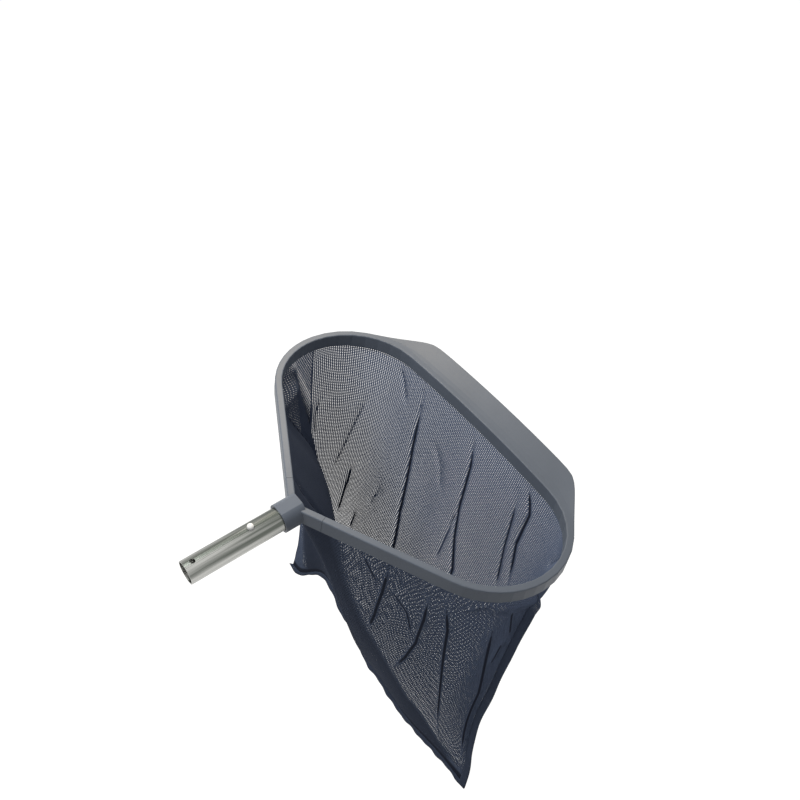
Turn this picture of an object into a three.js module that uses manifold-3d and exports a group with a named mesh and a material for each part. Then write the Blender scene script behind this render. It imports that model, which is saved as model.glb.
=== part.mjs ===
// A pond skimming net: a moulded rim with a scoop blade, a mesh bag hung in the rim's channel, and a short
// aluminium tube in a Y shaped yoke, with a spring clip whose two buttons lock a pole that slides over it.
// Millimetres. The origin is the centre of the tube's free end. +X runs along the front bar, +Y from the
// handle to the blade, and +Z out of the bag's mouth. The rim's top face is level, and the tube leans down.
import * as THREE from "three";
import { mergeVertices } from "three/addons/utils/BufferGeometryUtils.js";
import Module from "manifold-3d";

const wasm = await Module();
wasm.setup();

const GAP = 0.3; // between pieces that touch
const WELD = 1e-4; // points nearer than this are one point
const FULL_TURN = 2 * Math.PI;
const HALF_TURN = Math.PI;
const QUARTER_TURN = Math.PI / 2;

// Mouth of the rim, along the inner edge of its top face, from the point where the two arms would cross
const MOUTH_HALF_WIDTH = 221;
const MOUTH_LENGTH = 272;
const CORNER_RADIUS = 94;
const FRONT_RADIUS = 2000; // the front bar is very slightly bowed
const CROTCH_RADIUS = 26; // where the arms meet at the yoke

// Rim section, an inverted U
const RIM_WIDTH = 9;
const RIM_HEIGHT = 18;
const RIM_WALL = 2;
const RIM_ROOF = 2.5;
const RIM_EDGE_RADIUS = 1.4;
const EDGE_STEPS = 3;

// Scoop blade on the front bar
const BLADE_REACH = 40.5; // from the rim's inner edge to the lip
const BLADE_RISE = 6.5; // lip above the rim's top face
const BLADE_HOLLOW = 1.25; // power of the rise: 1 is a flat slope, more is a hollow one
const BLADE_THICKNESS = 3;
const BLADE_END_ANGLE = THREE.MathUtils.degToRad(45); // each end leaves the rim's corner at its tangent
const BLADE_CORNER_BLEND = 5.5; // how softly the ends turn into the lip
const BLADE_END_STATIONS = 12;
const BLADE_FRONT_STATIONS = 14;
const BLADE_STEPS = 5;
const LIP_STEPS = 4;

// Handle tube, measured from its free end along its axis
const TUBE_DIAMETER = 28.5;
const TUBE_WALL = 1.4;
const HANDLE_REACH = 139; // tube's free end to the point where the arms would cross
const TUBE_SHORT_OF_CROSSING = 2; // the tube's inner end stops this far before that point
const TUBE_TILT = THREE.MathUtils.degToRad(9); // the tube leans down to the bag's side
const TUBE_BELOW_RIM = 11.7; // tube axis under the rim's top face where the arms cross
const CROSS_HOLE_DIAMETER = 6.6;
const CROSS_HOLE_FROM_END = 10.5;

// Yoke
const SOCKET_LENGTH = 22; // along the tube, to the point where the arms would cross
const SOCKET_RADIUS = 17.4;
const SOCKET_FLAT_HEIGHT = 15.9; // flat facet along the top, above the tube axis
const SOCKET_END_PAST_CROSSING = 3.3; // upright end face, past the point where the arms would cross
const SEAM_FROM_CROTCH = 37.5; // along each arm, to the joint with the hoop
const SEAM_GAP = 0.4;
const CHANNEL_END_FROM_CROTCH = 22; // the yoke's arms are solid nearer than this
const YOKE_ROOF = 9.3;
const TONGUE_LENGTH = 16;
const TONGUE_DEPTH = 4.7;

// Snap clip
const BUTTON_FROM_SOCKET = 35; // along the tube, from the socket's mouth
const BUTTON_DIAMETER = 8;
const BUTTON_CLEARANCE = 0.35;
const BUTTON_STAND_OUT = 4.6;
const BUTTON_NOSE = 2.4; // height of the rounded end
const BUTTON_NOSE_STEPS = 4;
const FLANGE_DIAMETER = 10.4;
const FLANGE_THICKNESS = 1.5;
const SPRING_THICKNESS = 0.8;
const SPRING_WIDTH = 8;
const SPRING_LENGTH = 44; // from the buttons to the bend
const SPRING_PAD = 12; // flat under each button
const SPRING_BEND_RADIUS = 2.4;
const SPRING_BEND_STEPS = 6;

// Screws
const SCREW_CROWN = 0.6; // flat middle of a head, as a share of its radius
const SCREW_RIM = 0.3; // straight edge of a head, as a share of its height
const SOCKET_SCREW_FROM_MOUTH = 11; // along the socket
const SOCKET_SCREW_DIAMETER = 3.2;
const SOCKET_SCREW_HEAD_DIAMETER = 6.4;
const SOCKET_SCREW_HEAD_HEIGHT = 1.8;
const SOCKET_SCREW_PAST_WALL = 2; // into the tube's bore
const ARM_SCREW_FROM_SEAM = 9;
const ARM_SCREW_DIAMETER = 2.2;
const ARM_SCREW_HEAD_DIAMETER = 4;
const ARM_SCREW_HEAD_HEIGHT = 1.3;
const ARM_SCREW_SKIN = 1; // rim top left over the screw's tip

// Hem in the rim's channel
const HEM_FABRIC = 0.6;
const HEM_TOP = 9.8; // hem's top below the rim's top face
const CORD_DIAMETER = 3;
const STRIP_HEIGHT = 3.4;

// Bag: two panels that meet in a bottom seam
const BAG_WALL = 1;
const BAG_CROTCH_RADIUS = 54; // the bag's edge cuts the corner in front of the socket
const BAG_DEPTH = 490; // rim's top face to the panels' lower edge
const BAG_FLARE = 3; // bottom seam's half width past the mouth's
const BAG_SEAM_Y = 178; // bottom seam from the point where the arms would cross
const BAG_SLIT = 1; // half the slit that the seam closes
const BAG_BELLY = 12; // how far the panels swell outward half way down
const BAG_WAIST = 16; // how far the sides draw in half way down
const TUCKS = [
  { x: -130, halfWidth: 85, lift: 72 }, // the bottom seam is drawn up here
  { x: -52, halfWidth: 50, lift: 34 },
  { x: 94, halfWidth: 90, lift: -13 }, // and hangs lower here
];
const SAG_DEPTH = 50; // the near panel's left half sinks into the bag
const SAG_MIDDLE = -0.4; // its middle and half width round the mouth, which runs from -1 to 1
const SAG_HALF_WIDTH = 0.6;
const SAG_LEVEL = 0.36; // its deepest place, as a share of the way down, and its reach below that
const SAG_REACH = 0.6;
// Waves of loose cloth: angle turned through round the mouth and down the bag, start and height
const WAVES = [
  { round: 8, down: 2.2, start: 1, height: 2.4 },
  { round: 11.5, down: -3.1, start: 2.6, height: 1.5 },
  { round: 17, down: 4.3, start: 0.4, height: 1 },
];
const WAVE_SHIFT = 2; // the panels' waves start this far to either side
const WAVE_EDGE = 6; // power that keeps the waves nearly even up to the sides
const BAG_LEVELS = 8;
const BAG_COLUMNS = 44;
const SEAM_HEIGHT = 8;
const SEAM_THICKNESS = 6;
const SIDE_SEAM_WIDTH = 12;
const SIDE_SEAM_THICKNESS = 2;

// Smoothness
const CROTCH_STEPS = 5;
const CORNER_STEPS = 8; // on each side of the corner's widest point
const FRONT_STEPS = 5;
const ROUND_SIDES = 48;
const CORD_SIDES = 8;
const SMALL_SIDES = 20;

// Sizes that follow from those above
const TUBE_RADIUS = TUBE_DIAMETER / 2;
const TUBE_LENGTH = HANDLE_REACH - TUBE_SHORT_OF_CROSSING;
const SOCKET_MOUTH_FROM_END = HANDLE_REACH - SOCKET_LENGTH;
const SOCKET_SCREW_FROM_END = SOCKET_MOUTH_FROM_END + SOCKET_SCREW_FROM_MOUTH;
const BUTTON_FROM_END = SOCKET_MOUTH_FROM_END - BUTTON_FROM_SOCKET;
const BAG_OUT = RIM_WALL + GAP; // the bag hangs just inside the channel's inner wall
const BAG_MOUTH_HALF_WIDTH = MOUTH_HALF_WIDTH + BAG_OUT;
const BAG_BOTTOM_HALF_WIDTH = MOUTH_HALF_WIDTH + BAG_FLARE;
const BORE_RADIUS = TUBE_RADIUS - TUBE_WALL;
const CORNER_X = MOUTH_HALF_WIDTH - CORNER_RADIUS;
const FRONT_CENTRE_Y = MOUTH_LENGTH - FRONT_RADIUS;
const CORNER_Y = FRONT_CENTRE_Y + Math.sqrt((FRONT_RADIUS - CORNER_RADIUS) ** 2 - CORNER_X ** 2);
const FRONT_HALF_ANGLE = Math.asin(CORNER_X / (FRONT_RADIUS - CORNER_RADIUS));
const ARM_ANGLE = Math.atan2(CORNER_Y, CORNER_X) - Math.asin(CORNER_RADIUS / Math.hypot(CORNER_X, CORNER_Y));
const CHANNEL_MIDDLE = RIM_WIDTH / 2;
const RIM_TOP_Z = HANDLE_REACH * Math.sin(TUBE_TILT) + TUBE_BELOW_RIM;
const CROTCH_Y = HANDLE_REACH * Math.cos(TUBE_TILT);
const FLANGE_TOP = Math.sqrt(BORE_RADIUS ** 2 - (FLANGE_DIAMETER / 2) ** 2) - GAP;
const TONGUE_BOTTOM = RIM_ROOF + GAP + TONGUE_DEPTH;

// Materials

function material(color, roughness, metalness) {
  return new THREE.MeshStandardMaterial({ color, roughness, metalness });
}

const greyPlastic = () => material(0x6b7076, 0.5, 0);
const whiteNylon = () => material(0xf1f1ec, 0.4, 0);
const aluminium = () => material(0xc8cacc, 0.3, 1);
const steel = () => material(0xaeb2b6, 0.35, 1);
const darkFabric = () => material(0x2b3142, 0.9, 0);
const darkCord = () => material(0x23262e, 0.7, 0);

// Joining and cutting

function solidOf(geometry) {
  const plain = geometry.index ? geometry.toNonIndexed() : geometry.clone();
  plain.deleteAttribute("normal");
  plain.deleteAttribute("uv");
  const merged = mergeVertices(plain, WELD);
  return new wasm.Manifold(
    new wasm.Mesh({
      numProp: 3,
      vertProperties: new Float32Array(merged.attributes.position.array),
      triVerts: new Uint32Array(merged.index.array),
    }),
  );
}

function geometryOf(solid) {
  const mesh = solid.getMesh();
  const geometry = new THREE.BufferGeometry();
  geometry.setAttribute("position", new THREE.BufferAttribute(new Float32Array(mesh.vertProperties), 3));
  geometry.setIndex(new THREE.BufferAttribute(new Uint32Array(mesh.triVerts), 1));
  geometry.computeVertexNormals();
  return geometry;
}

function join(...geometries) {
  return geometryOf(geometries.map(solidOf).reduce((all, next) => all.add(next)));
}

function cut(geometry, ...tools) {
  return geometryOf(tools.map(solidOf).reduce((left, tool) => left.subtract(tool), solidOf(geometry)));
}

// Lofts

function signedVolume(points, triangles) {
  let six = 0;
  for (const [a, b, c] of triangles) six += points[a].dot(points[b].clone().cross(points[c]));
  return six;
}

// A closed solid through rings of points, each ring a polygon. A loop joins its last ring to its first, and
// an open loft is capped with the triangles of the flat polygon given.
function loft(rings, flat) {
  const count = rings[0].length;
  const spans = flat ? rings.length - 1 : rings.length;
  const triangles = [];
  for (let r = 0; r < spans; r += 1) {
    const here = r * count;
    const there = ((r + 1) % rings.length) * count;
    for (let i = 0; i < count; i += 1) {
      const j = (i + 1) % count;
      triangles.push([here + i, here + j, there + j], [here + i, there + j, there + i]);
    }
  }
  if (flat) {
    const last = (rings.length - 1) * count;
    const ccw = !THREE.ShapeUtils.isClockWise(flat);
    for (const [a, b, c] of THREE.ShapeUtils.triangulateShape(flat, [])) {
      const [p, q] = ccw ? [b, c] : [c, b];
      triangles.push([a, q, p], [last + a, last + p, last + q]);
    }
  }
  const points = rings.flat();
  const outward = signedVolume(points, triangles) > 0;
  const faces = outward ? triangles : triangles.map(([a, b, c]) => [a, c, b]);
  const geometry = new THREE.BufferGeometry().setFromPoints(points);
  geometry.setIndex(faces.flat());
  geometry.computeVertexNormals();
  return geometry;
}

// The rim's plan: stations with a point and an outward direction

function station(x, y, outX, outY) {
  return { point: new THREE.Vector2(x, y), out: new THREE.Vector2(outX, outY) };
}

function arcStations(centreX, centreY, radius, from, to, steps) {
  return Array.from({ length: steps + 1 }, (_, i) => {
    const angle = from + ((to - from) * i) / steps;
    const [c, s] = [Math.cos(angle), Math.sin(angle)];
    return station(centreX + radius * c, centreY + radius * s, c, s);
  });
}

function armStation(along) {
  const [c, s] = [Math.cos(ARM_ANGLE), Math.sin(ARM_ANGLE)];
  return station(along * c, along * s, s, -c);
}

function crotchStations(radius) {
  const end = ARM_ANGLE - QUARTER_TURN;
  return arcStations(0, radius / Math.cos(ARM_ANGLE), radius, -QUARTER_TURN, end, CROTCH_STEPS);
}

// Right-hand half of the plan past the arm: round the corner and along the front bar to the middle
function cornerAndFront() {
  const cornerEnd = QUARTER_TURN - FRONT_HALF_ANGLE;
  return [
    ...arcStations(CORNER_X, CORNER_Y, CORNER_RADIUS, ARM_ANGLE - QUARTER_TURN, 0, CORNER_STEPS),
    ...arcStations(CORNER_X, CORNER_Y, CORNER_RADIUS, 0, cornerEnd, CORNER_STEPS).slice(1),
    ...arcStations(0, FRONT_CENTRE_Y, FRONT_RADIUS, cornerEnd, QUARTER_TURN, FRONT_STEPS).slice(1),
  ];
}

function mirrored(stations) {
  return [...stations].reverse().map(({ point, out }) => station(-point.x, point.y, -out.x, out.y));
}

// From one arm round the front to the other, starting the given distance from the crossing point of the arms
function hoopPath(along) {
  const right = [armStation(along), ...cornerAndFront()];
  return [...right, ...mirrored(right).slice(1)];
}

// Through the yoke, from one arm to the other
function yokePath(along) {
  const right = [...crotchStations(CROTCH_RADIUS), armStation(along)];
  return [...mirrored(right), ...right.slice(1)];
}

function armPath(from, to) {
  return [armStation(from), armStation(to)];
}

// A section, given as distance outward from the mouth's edge and height, carried along a path
function sweep(path, section) {
  const rings = path.map(({ point, out }) =>
    section.map((q) => new THREE.Vector3(point.x + out.x * q.x, point.y + out.y * q.x, q.y)),
  );
  return loft(rings, section);
}

function rectangle(inner, outer, bottom, top) {
  return [
    new THREE.Vector2(inner, bottom),
    new THREE.Vector2(outer, bottom),
    new THREE.Vector2(outer, top),
    new THREE.Vector2(inner, top),
  ];
}

function roundCorner(x, y, from) {
  return Array.from({ length: EDGE_STEPS + 1 }, (_, i) => {
    const angle = from - (QUARTER_TURN * i) / EDGE_STEPS;
    return new THREE.Vector2(x + RIM_EDGE_RADIUS * Math.cos(angle), y + RIM_EDGE_RADIUS * Math.sin(angle));
  });
}

// Outside of the rim's section, with its two top edges rounded
function rimOutside() {
  return [
    new THREE.Vector2(0, -RIM_HEIGHT),
    ...roundCorner(RIM_EDGE_RADIUS, -RIM_EDGE_RADIUS, HALF_TURN),
    ...roundCorner(RIM_WIDTH - RIM_EDGE_RADIUS, -RIM_EDGE_RADIUS, QUARTER_TURN),
    new THREE.Vector2(RIM_WIDTH, -RIM_HEIGHT),
  ];
}

// The inverted U: the outside, then the channel up to the given depth under the top face
function channelSection(roof) {
  return [
    ...rimOutside(),
    new THREE.Vector2(RIM_WIDTH - RIM_WALL, -RIM_HEIGHT),
    new THREE.Vector2(RIM_WIDTH - RIM_WALL, -roof),
    new THREE.Vector2(RIM_WALL, -roof),
    new THREE.Vector2(RIM_WALL, -RIM_HEIGHT),
  ];
}

// Round pieces

// A cylinder along +Z from one height to another
function post(radius, bottom, top) {
  const geometry = new THREE.CylinderGeometry(radius, radius, top - bottom, SMALL_SIDES);
  geometry.rotateX(QUARTER_TURN);
  geometry.translate(0, 0, (top + bottom) / 2);
  return geometry;
}

// A screw along +Z, its head below, its shank from z = 0 up to the tip
function screw(diameter, headDiameter, headHeight, length) {
  const radius = diameter / 2;
  const headRadius = headDiameter / 2;
  const profile = [
    new THREE.Vector2(0, -headHeight),
    new THREE.Vector2(headRadius * SCREW_CROWN, -headHeight),
    new THREE.Vector2(headRadius, -headHeight * SCREW_RIM),
    new THREE.Vector2(headRadius, 0),
    new THREE.Vector2(radius, 0),
    new THREE.Vector2(radius, length - radius),
    new THREE.Vector2(0, length),
  ];
  const geometry = new THREE.LatheGeometry(profile, SMALL_SIDES);
  geometry.rotateX(QUARTER_TURN);
  return geometry;
}

// Pieces of the head, with z = 0 at the rim's top face and the arms' crossing point at x = y = 0

// The part of the mouth's edge that carries the blade, with more stations where it turns
function bladePath() {
  const cornerEnd = QUARTER_TURN - FRONT_HALF_ANGLE;
  const corner = arcStations(
    CORNER_X,
    CORNER_Y,
    CORNER_RADIUS,
    BLADE_END_ANGLE,
    cornerEnd,
    BLADE_END_STATIONS,
  );
  const front = Array.from({ length: BLADE_FRONT_STATIONS / 2 }, (_, i) => {
    const turn = (HALF_TURN * (i + 1)) / BLADE_FRONT_STATIONS;
    const angle = QUARTER_TURN - FRONT_HALF_ANGLE * Math.cos(turn);
    const [c, s] = [Math.cos(angle), Math.sin(angle)];
    return station(FRONT_RADIUS * c, FRONT_CENTRE_Y + FRONT_RADIUS * s, c, s);
  });
  const right = [...corner, ...front];
  return [...right, ...mirrored(right).slice(1)];
}

// Outward distance from the mouth's edge to the blade's straight end
function reachToEnd({ point, out }) {
  const side = Math.sign(point.x) || 1;
  const towards = new THREE.Vector2(side * Math.cos(BLADE_END_ANGLE), Math.sin(BLADE_END_ANGLE));
  const fromCentre = point.clone().sub(new THREE.Vector2(side * CORNER_X, CORNER_Y));
  return (CORNER_RADIUS + RIM_WIDTH - fromCentre.dot(towards)) / out.dot(towards);
}

// Outward distance from the mouth's edge to the lip, which keeps the front bar's bow
function reachToLip({ point, out }) {
  const fromCentre = point.clone().sub(new THREE.Vector2(0, FRONT_CENTRE_Y));
  const along = fromCentre.dot(out);
  return Math.sqrt(along ** 2 - fromCentre.lengthSq() + (FRONT_RADIUS + BLADE_REACH) ** 2) - along;
}

// The nearer of the two, with the turn between them blended
function bladeReach(place) {
  const reaches = [reachToEnd(place), reachToLip(place)];
  const nearest = Math.min(...reaches);
  const sum = reaches.reduce((all, reach) => all + Math.exp((nearest - reach) / BLADE_CORNER_BLEND), 0);
  return nearest - BLADE_CORNER_BLEND * Math.log(sum);
}

// The blade keeps the rim's top face, then rises in a shallow hollow curve to a rounded lip
function bladeSection(reach) {
  const slope = (distance) => Math.max(0, distance - RIM_WIDTH) / (BLADE_REACH - RIM_WIDTH);
  const rise = (distance) => BLADE_RISE * slope(distance) ** BLADE_HOLLOW;
  const lip = BLADE_THICKNESS / 2;
  const inner = RIM_EDGE_RADIUS;
  const knee = Math.min(RIM_WIDTH, reach - lip) - lip;
  const beyond = Array.from({ length: BLADE_STEPS + 1 }, (_, i) => {
    return THREE.MathUtils.lerp(knee, reach - lip, i / BLADE_STEPS);
  });
  const top = [inner, ...beyond].map((distance) => new THREE.Vector2(distance, rise(distance)));
  const middle = rise(reach - lip) - lip;
  const round = Array.from({ length: LIP_STEPS - 1 }, (_, i) => {
    const angle = QUARTER_TURN - (HALF_TURN * (i + 1)) / LIP_STEPS;
    return new THREE.Vector2(reach - lip + lip * Math.cos(angle), middle + lip * Math.sin(angle));
  });
  const bottom = top.map((q) => new THREE.Vector2(q.x, q.y - BLADE_THICKNESS)).reverse();
  return [...top, ...round, ...bottom];
}

function blade() {
  const rings = bladePath().map((place) => {
    const { point, out } = place;
    return bladeSection(bladeReach(place)).map(
      (q) => new THREE.Vector3(point.x + out.x * q.x, point.y + out.y * q.x, q.y),
    );
  });
  return loft(rings, bladeSection(BLADE_REACH));
}

function armScrewStation() {
  const { point, out } = armStation(SEAM_FROM_CROTCH + ARM_SCREW_FROM_SEAM);
  return point.clone().addScaledVector(out, CHANNEL_MIDDLE);
}

// Holes for the two arm screws, up to the skin left under the rim's top face
function armScrewHoles() {
  const { x, y } = armScrewStation();
  return [x, -x].map((side) => {
    const hole = post(ARM_SCREW_DIAMETER / 2 + GAP, -RIM_HEIGHT, -ARM_SCREW_SKIN);
    return hole.translate(side, y, 0);
  });
}

function frameHoop() {
  const rim = sweep(hoopPath(SEAM_FROM_CROTCH), channelSection(RIM_ROOF));
  return cut(join(rim, blade()), ...armScrewHoles());
}

// The handle's pieces are laid out along +Y from the tube's free end: this turns them into the head's frame
function handleToHead(geometry) {
  return geometry.rotateX(TUBE_TILT).translate(0, -CROTCH_Y, -RIM_TOP_Z);
}

function alongHandle(shape, from, to) {
  const geometry = new THREE.ExtrudeGeometry(shape, {
    depth: to - from,
    bevelEnabled: false,
    curveSegments: ROUND_SIDES / 2,
  });
  return geometry.rotateX(-QUARTER_TURN).translate(0, from, 0);
}

function circle(radius) {
  return new THREE.Shape().absarc(0, 0, radius, 0, FULL_TURN, false);
}

// Socket outline across the tube: round, with a flat facet on the side that faces up
function socketShape() {
  const edge = Math.acos(SOCKET_FLAT_HEIGHT / SOCKET_RADIUS);
  const from = -QUARTER_TURN + edge;
  const to = HALF_TURN + QUARTER_TURN - edge;
  return new THREE.Shape().absarc(0, 0, SOCKET_RADIUS, from, to, false);
}

function handleYoke() {
  const solidMiddle = sweep(yokePath(CHANNEL_END_FROM_CROTCH), rimOutside());
  const arm = armPath(CHANNEL_END_FROM_CROTCH - GAP, SEAM_FROM_CROTCH - SEAM_GAP);
  const armSection = channelSection(YOKE_ROOF);
  const tongue = armPath(SEAM_FROM_CROTCH - TONGUE_DEPTH, SEAM_FROM_CROTCH + TONGUE_LENGTH);
  const tongueSection = rectangle(
    RIM_WALL + GAP,
    RIM_WIDTH - RIM_WALL - GAP,
    -TONGUE_BOTTOM,
    -RIM_ROOF - GAP,
  );
  const socketRun = alongHandle(socketShape(), SOCKET_MOUTH_FROM_END, HANDLE_REACH + SOCKET_RADIUS);
  const room = 4 * SOCKET_RADIUS; // more than the socket takes up each way
  const beyondEnd = new THREE.BoxGeometry(room, room, room);
  beyondEnd.translate(0, SOCKET_END_PAST_CROSSING + room / 2, 0);
  const socket = cut(handleToHead(socketRun), beyondEnd);
  const bore = alongHandle(circle(TUBE_RADIUS + GAP), 0, TUBE_LENGTH + GAP);
  const body = join(
    solidMiddle,
    sweep(arm, armSection),
    sweep(mirrored(arm), armSection),
    sweep(tongue, tongueSection),
    sweep(mirrored(tongue), tongueSection),
    socket,
  );
  return cut(body, handleToHead(bore), handleToHead(socketScrewHole()), ...armScrewHoles());
}

// Hem pieces, all on one path from arm to arm inside the channel
function hemPath() {
  return hoopPath(CHANNEL_END_FROM_CROTCH + GAP);
}

function hemCord() {
  const radius = CORD_DIAMETER / 2;
  const height = -(HEM_TOP + HEM_FABRIC + GAP + radius);
  const section = Array.from({ length: CORD_SIDES }, (_, i) => {
    const angle = (FULL_TURN * i) / CORD_SIDES;
    return new THREE.Vector2(CHANNEL_MIDDLE + radius * Math.cos(angle), height + radius * Math.sin(angle));
  });
  return sweep(hemPath(), section);
}

// Fabric folded over the bead: up the inner wall, across, and a short way down the outer wall
function hemBand() {
  const inner = RIM_WALL + GAP;
  const outer = RIM_WIDTH - RIM_WALL - GAP;
  const shortLeg = HEM_TOP + HEM_FABRIC + CORD_DIAMETER + 2 * GAP;
  const section = [
    [inner, RIM_HEIGHT],
    [inner, HEM_TOP],
    [outer, HEM_TOP],
    [outer, shortLeg],
    [outer - HEM_FABRIC, shortLeg],
    [outer - HEM_FABRIC, HEM_TOP + HEM_FABRIC],
    [inner + HEM_FABRIC, HEM_TOP + HEM_FABRIC],
    [inner + HEM_FABRIC, RIM_HEIGHT],
  ].map(([out, down]) => new THREE.Vector2(out, -down));
  return sweep(hemPath(), section);
}

// The strip fills the channel under the bead and the short leg, beside the fabric on the inner wall
function clampStrip() {
  const inner = RIM_WALL + HEM_FABRIC + 2 * GAP;
  const top = HEM_TOP + HEM_FABRIC + CORD_DIAMETER + 3 * GAP;
  const section = rectangle(inner, RIM_WIDTH - RIM_WALL - GAP, -top - STRIP_HEIGHT, -top);
  return sweep(hemPath(), section);
}

// Columns of the bag from side to side, closer together where its mouth turns
function bagColumns() {
  return Array.from({ length: BAG_COLUMNS + 1 }, (_, i) => {
    return -BAG_MOUTH_HALF_WIDTH * Math.cos((HALF_TURN * i) / BAG_COLUMNS);
  });
}

// Station of an arc whose outer side, where the bag hangs, is at the given distance from the middle
function arcStationAt(x, centreX, centreY, radius, side) {
  const angle = side * Math.acos(Math.min(1, (x - centreX) / (radius + BAG_OUT)));
  return arcStations(centreX, centreY, radius, angle, angle, 1)[0];
}

function farStation(x) {
  const onFront = x < (FRONT_RADIUS + BAG_OUT) * Math.sin(FRONT_HALF_ANGLE);
  if (onFront) return arcStationAt(x, 0, FRONT_CENTRE_Y, FRONT_RADIUS, 1);
  return arcStationAt(x, CORNER_X, CORNER_Y, CORNER_RADIUS, 1);
}

// The near panel takes a wider turn than the rim, in front of the socket
function nearStation(x) {
  const [c, s] = [Math.cos(ARM_ANGLE), Math.sin(ARM_ANGLE)];
  const onTurn = x < (BAG_CROTCH_RADIUS + BAG_OUT) * s;
  if (onTurn) return arcStationAt(x, 0, BAG_CROTCH_RADIUS / c, BAG_CROTCH_RADIUS, -1);
  const onArm = x < CORNER_X + (CORNER_RADIUS + BAG_OUT) * s;
  if (onArm) return armStation((x - BAG_OUT * s) / c);
  return arcStationAt(x, CORNER_X, CORNER_Y, CORNER_RADIUS, -1);
}

function onBothSides(x, stationAt) {
  return x < 0 ? mirrored([stationAt(-x)])[0] : stationAt(x);
}

function bagStations() {
  const columns = bagColumns();
  const near = columns.map((x) => onBothSides(x, nearStation));
  const far = columns.slice(1, -1).map((x) => onBothSides(x, farStation));
  return [...near, ...far.reverse()];
}

// 1 in the middle, falling smoothly to 0 at a distance of 1
function hump(distance) {
  return Math.cos(THREE.MathUtils.clamp(distance, -1, 1) * QUARTER_TURN) ** 2;
}

// Height of the panels' lower edge along the bottom seam
function bagBottom(x) {
  return TUCKS.reduce((height, tuck) => height + tuck.lift * hump((x - tuck.x) / tuck.halfWidth), -BAG_DEPTH);
}

// Place round the mouth, from -1 at its left side to 1 at its right
function roundMouth(x) {
  return Math.asin(THREE.MathUtils.clamp(x / BAG_MOUTH_HALF_WIDTH, -1, 1)) / QUARTER_TURN;
}

// How far the near panel sinks into the bag
function bagSag(place, share) {
  const level = share < SAG_LEVEL ? share / SAG_LEVEL - 1 : (share - SAG_LEVEL) / SAG_REACH;
  return SAG_DEPTH * hump((place - SAG_MIDDLE) / SAG_HALF_WIDTH) * hump(level);
}

// How far a panel's loose waves stand out, which die out at its edges
function bagWaves(place, share, side) {
  const loose = Math.sin(share * HALF_TURN) * hump(place ** WAVE_EDGE);
  return WAVES.reduce((sum, { round, down, start, height }) => {
    return sum + loose * height * Math.sin(round * place + down * share + start + side * WAVE_SHIFT);
  }, 0);
}

// A point of the bag under a station of its mouth, the given share of the way down and distance outward
function bagPoint({ point, out }, share, outward) {
  const mouth = point.clone().addScaledVector(out, BAG_OUT);
  const place = roundMouth(mouth.x);
  const side = out.y < 0 ? -1 : 1;
  const sink = side < 0 ? bagSag(place, share) : 0;
  const swell = Math.sin(share * HALF_TURN);
  const seamX = (mouth.x * BAG_BOTTOM_HALF_WIDTH) / BAG_MOUTH_HALF_WIDTH;
  const facing = out.clone().lerp(new THREE.Vector2(0, side), share).normalize();
  const at = mouth.lerp(new THREE.Vector2(seamX, BAG_SEAM_Y), share);
  at.x += out.x * (outward + BAG_SLIT * share - BAG_WAIST * swell) + sink * Math.sin(ARM_ANGLE);
  at.y += out.y * (outward + BAG_SLIT * share + BAG_BELLY * swell) + sink * Math.cos(ARM_ANGLE);
  const z = THREE.MathUtils.lerp(-RIM_HEIGHT - GAP, bagBottom(at.x), share);
  at.addScaledVector(facing, bagWaves(place, share, side));
  return new THREE.Vector3(at.x, at.y, z);
}

// Two panels, as one sleeve whose lower edges the bottom seam closes
function netBag() {
  const shares = Array.from({ length: BAG_LEVELS }, (_, i) => i / (BAG_LEVELS - 1));
  const rings = bagStations().map((place) => [
    ...shares.map((share) => bagPoint(place, share, 0)),
    ...[...shares].reverse().map((share) => bagPoint(place, share, BAG_WALL)),
  ]);
  return loft(rings, null);
}

// A strip under the panels' lower edges, which keeps their line
function bottomSeam() {
  const widening = (BAG_BOTTOM_HALF_WIDTH + BAG_SLIT + BAG_WALL) / BAG_MOUTH_HALF_WIDTH;
  const top = -2 * GAP;
  const section = rectangle(-SEAM_THICKNESS / 2, SEAM_THICKNESS / 2, top - SEAM_HEIGHT, top);
  const rings = bagColumns().map((column) => {
    const x = column * widening;
    return section.map((q) => new THREE.Vector3(x, BAG_SEAM_Y + q.x, bagBottom(x) + q.y));
  });
  return loft(rings, section);
}

// A strip down the bag's side fold, from under the rim to the bottom seam
function sideSeam(side) {
  const widest = station(side * MOUTH_HALF_WIDTH, CORNER_Y, side, 0);
  const section = rectangle(0, SIDE_SEAM_THICKNESS, -SIDE_SEAM_WIDTH / 2, SIDE_SEAM_WIDTH / 2);
  const rings = Array.from({ length: BAG_LEVELS }, (_, i) => {
    const fold = bagPoint(widest, i / (BAG_LEVELS - 1), BAG_WALL + GAP);
    return section.map((q) => new THREE.Vector3(fold.x + side * q.x, fold.y + q.y, fold.z));
  });
  return loft(rings, section);
}

function armScrew(side) {
  const { x, y } = armScrewStation();
  const seat = TONGUE_BOTTOM + GAP;
  const length = seat - ARM_SCREW_SKIN - GAP;
  const geometry = screw(ARM_SCREW_DIAMETER, ARM_SCREW_HEAD_DIAMETER, ARM_SCREW_HEAD_HEIGHT, length);
  return geometry.translate(side * x, y, -seat);
}

// Pieces of the handle, along +Y from the tube's free end

function acrossTube(radius, y) {
  return post(radius, -SOCKET_RADIUS, SOCKET_RADIUS).translate(0, y, 0);
}

function socketScrewHole() {
  const hole = post(SOCKET_SCREW_DIAMETER / 2 + GAP, -SOCKET_RADIUS - GAP, -BORE_RADIUS + TUBE_WALL);
  return hole.translate(0, SOCKET_SCREW_FROM_END, 0);
}

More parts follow.
